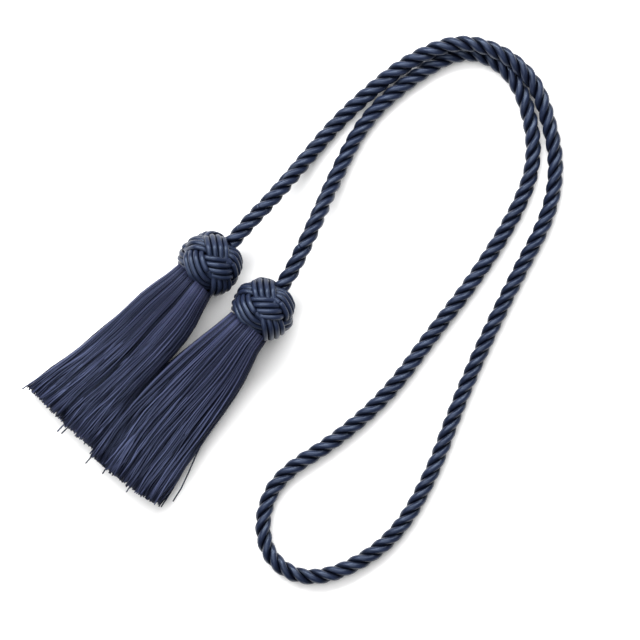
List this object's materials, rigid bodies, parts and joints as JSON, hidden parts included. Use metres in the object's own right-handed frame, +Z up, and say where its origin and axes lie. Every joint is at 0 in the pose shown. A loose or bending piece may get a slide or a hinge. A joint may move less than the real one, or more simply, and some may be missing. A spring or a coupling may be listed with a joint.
{
  "type": "double tassel cord",
  "caption": "Twisted rope with a ball knot and a thread fringe on each end, laid in a long loop with the tassels side by side.",
  "frame": {"origin": "on the surface it lies on, under the middle of the box round the two tassels, the free rope left out", "axes": "+Z up from the surface, the pair of tassels' shortest side; +X to the right and +Y away from the viewer as the cord is seen from above"},
  "size_m": [0.2673, 0.2764, 0.033],
  "materials": {
    "rope": "satin, three-ply twisted",
    "knot": "satin knotting cord",
    "fringe": "lustrous rayon threads",
    "binding": "matt sewing thread",
    "bead": "turned bead, dyed dark"
  },
  "bodies": {
    "cord": {"rope": "rope"},
    "first_bend": {"first_rope_bend": "rope"},
    "first_ball": {"first_rope_tail": "rope", "first_tail_whipping": "binding", "first_knot_core": "bead", "first_knot_cover": "knot", "first_fringe_head": "fringe", "first_head_binding": "binding"},
    "first_fringe": {"first_fringe_skirt": "fringe"},
    "second_bend": {"second_rope_bend": "rope"},
    "second_ball": {"second_rope_tail": "rope", "second_tail_whipping": "binding", "second_knot_core": "bead", "second_knot_cover": "knot", "second_fringe_head": "fringe", "second_head_binding": "binding"},
    "second_fringe": {"second_fringe_skirt": "fringe"}
  },
  "joints": [
    {"name": "first_swing", "type": "hinge", "parent": "cord", "child": "first_bend", "pos_m": [0.04349, 0.07208, 0.0165], "axis": [0, 0, 1], "range_deg": [-35, 0]},
    {"name": "first_lift", "type": "hinge", "parent": "first_bend", "child": "first_ball", "pos_m": [0.03693, 0.06453, 0.0165], "axis": [-0.7466, 0.6652, 0], "range_deg": [0, 60]},
    {"name": "first_sway", "type": "hinge", "parent": "first_ball", "child": "first_fringe", "pos_m": [0.0242, 0.0518, 0.0165], "axis": [0, 0, 1], "range_deg": [-15, 0]},
    {"name": "second_swing", "type": "hinge", "parent": "cord", "child": "second_bend", "pos_m": [0.06669, 0.05186, 0.0165], "axis": [0, 0, 1], "range_deg": [0, 8]},
    {"name": "second_lift", "type": "hinge", "parent": "second_bend", "child": "second_ball", "pos_m": [0.06169, 0.0432, 0.0165], "axis": [-0.7466, 0.6652, 0], "range_deg": [0, 60]},
    {"name": "second_sway", "type": "hinge", "parent": "second_ball", "child": "second_fringe", "pos_m": [0.05051, 0.02909, 0.0165], "axis": [0, 0, 1], "range_deg": [0, 8]}
  ]
}
